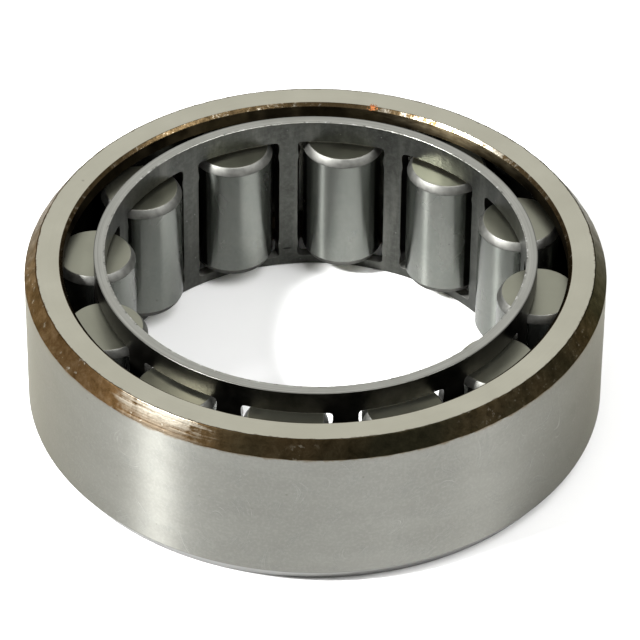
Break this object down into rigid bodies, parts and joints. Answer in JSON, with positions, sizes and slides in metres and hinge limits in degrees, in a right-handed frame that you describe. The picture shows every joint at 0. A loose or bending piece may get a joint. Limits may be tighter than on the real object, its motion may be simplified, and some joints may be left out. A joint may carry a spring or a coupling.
{
  "type": "cylindrical roller bearing",
  "caption": "Cylindrical roller bearing with a lipped outer ring and a windowed steel cage; its rollers run directly on the shaft, with no inner ring.",
  "frame": {"origin": "on the bearing's axis, level with the bottom face of the outer ring, which is the centre of the box's bottom", "axes": "+Z along the bearing's axis, out of the top face; +X points between the first and second rollers, nearest to the first"},
  "size_m": [0.062, 0.062, 0.0198],
  "materials": {
    "ring_steel": "ground bearing steel, satin, with an unground dark brown outer chamfer",
    "cage_steel": "matt dark grey phosphated pressed steel with bright bare rims",
    "roller_steel": "finely ground and polished bearing steel"
  },
  "bodies": {
    "outer_ring": {"outer_ring": "ring_steel"},
    "cage": {"cage": "cage_steel"},
    "roller_01": {"roller_01": "roller_steel"},
    "roller_02": {"roller_02": "roller_steel"},
    "roller_03": {"roller_03": "roller_steel"},
    "roller_04": {"roller_04": "roller_steel"},
    "roller_05": {"roller_05": "roller_steel"},
    "roller_06": {"roller_06": "roller_steel"},
    "roller_07": {"roller_07": "roller_steel"},
    "roller_08": {"roller_08": "roller_steel"},
    "roller_09": {"roller_09": "roller_steel"},
    "roller_10": {"roller_10": "roller_steel"},
    "roller_11": {"roller_11": "roller_steel"},
    "roller_12": {"roller_12": "roller_steel"}
  },
  "joints": [
    {"name": "cage_spin", "type": "hinge", "parent": "outer_ring", "child": "cage", "pos_m": [0, 0, 0.0095], "axis": [0, 0, 1], "continuous": true},
    {"name": "roller_01_spin", "type": "hinge", "parent": "cage", "child": "roller_01", "pos_m": [0.02372, -0.00291, 0.00933], "axis": [0, 0, 1], "continuous": true},
    {"name": "roller_02_spin", "type": "hinge", "parent": "cage", "child": "roller_02", "pos_m": [0.022, 0.00934, 0.00933], "axis": [0, 0, 1], "continuous": true},
    {"name": "roller_03_spin", "type": "hinge", "parent": "cage", "child": "roller_03", "pos_m": [0.01438, 0.01909, 0.00933], "axis": [0, 0, 1], "continuous": true},
    {"name": "roller_04_spin", "type": "hinge", "parent": "cage", "child": "roller_04", "pos_m": [0.00291, 0.02372, 0.00933], "axis": [0, 0, 1], "continuous": true},
    {"name": "roller_05_spin", "type": "hinge", "parent": "cage", "child": "roller_05", "pos_m": [-0.00934, 0.022, 0.00933], "axis": [0, 0, 1], "continuous": true},
    {"name": "roller_06_spin", "type": "hinge", "parent": "cage", "child": "roller_06", "pos_m": [-0.01909, 0.01438, 0.00933], "axis": [0, 0, 1], "continuous": true},
    {"name": "roller_07_spin", "type": "hinge", "parent": "cage", "child": "roller_07", "pos_m": [-0.02372, 0.00291, 0.00933], "axis": [0, 0, 1], "continuous": true},
    {"name": "roller_08_spin", "type": "hinge", "parent": "cage", "child": "roller_08", "pos_m": [-0.022, -0.00934, 0.00933], "axis": [0, 0, 1], "continuous": true},
    {"name": "roller_09_spin", "type": "hinge", "parent": "cage", "child": "roller_09", "pos_m": [-0.01438, -0.01909, 0.00933], "axis": [0, 0, 1], "continuous": true},
    {"name": "roller_10_spin", "type": "hinge", "parent": "cage", "child": "roller_10", "pos_m": [-0.00291, -0.02372, 0.00933], "axis": [0, 0, 1], "continuous": true},
    {"name": "roller_11_spin", "type": "hinge", "parent": "cage", "child": "roller_11", "pos_m": [0.00934, -0.022, 0.00933], "axis": [0, 0, 1], "continuous": true},
    {"name": "roller_12_spin", "type": "hinge", "parent": "cage", "child": "roller_12", "pos_m": [0.01909, -0.01438, 0.00933], "axis": [0, 0, 1], "continuous": true}
  ],
  "couplings": [
    {"joint": "roller_01_spin", "follows": "cage_spin", "ratio": -6.3933},
    {"joint": "roller_02_spin", "follows": "cage_spin", "ratio": -6.3933},
    {"joint": "roller_03_spin", "follows": "cage_spin", "ratio": -6.3933},
    {"joint": "roller_04_spin", "follows": "cage_spin", "ratio": -6.3933},
    {"joint": "roller_05_spin", "follows": "cage_spin", "ratio": -6.3933},
    {"joint": "roller_06_spin", "follows": "cage_spin", "ratio": -6.3933},
    {"joint": "roller_07_spin", "follows": "cage_spin", "ratio": -6.3933},
    {"joint": "roller_08_spin", "follows": "cage_spin", "ratio": -6.3933},
    {"joint": "roller_09_spin", "follows": "cage_spin", "ratio": -6.3933},
    {"joint": "roller_10_spin", "follows": "cage_spin", "ratio": -6.3933},
    {"joint": "roller_11_spin", "follows": "cage_spin", "ratio": -6.3933},
    {"joint": "roller_12_spin", "follows": "cage_spin", "ratio": -6.3933}
  ]
}
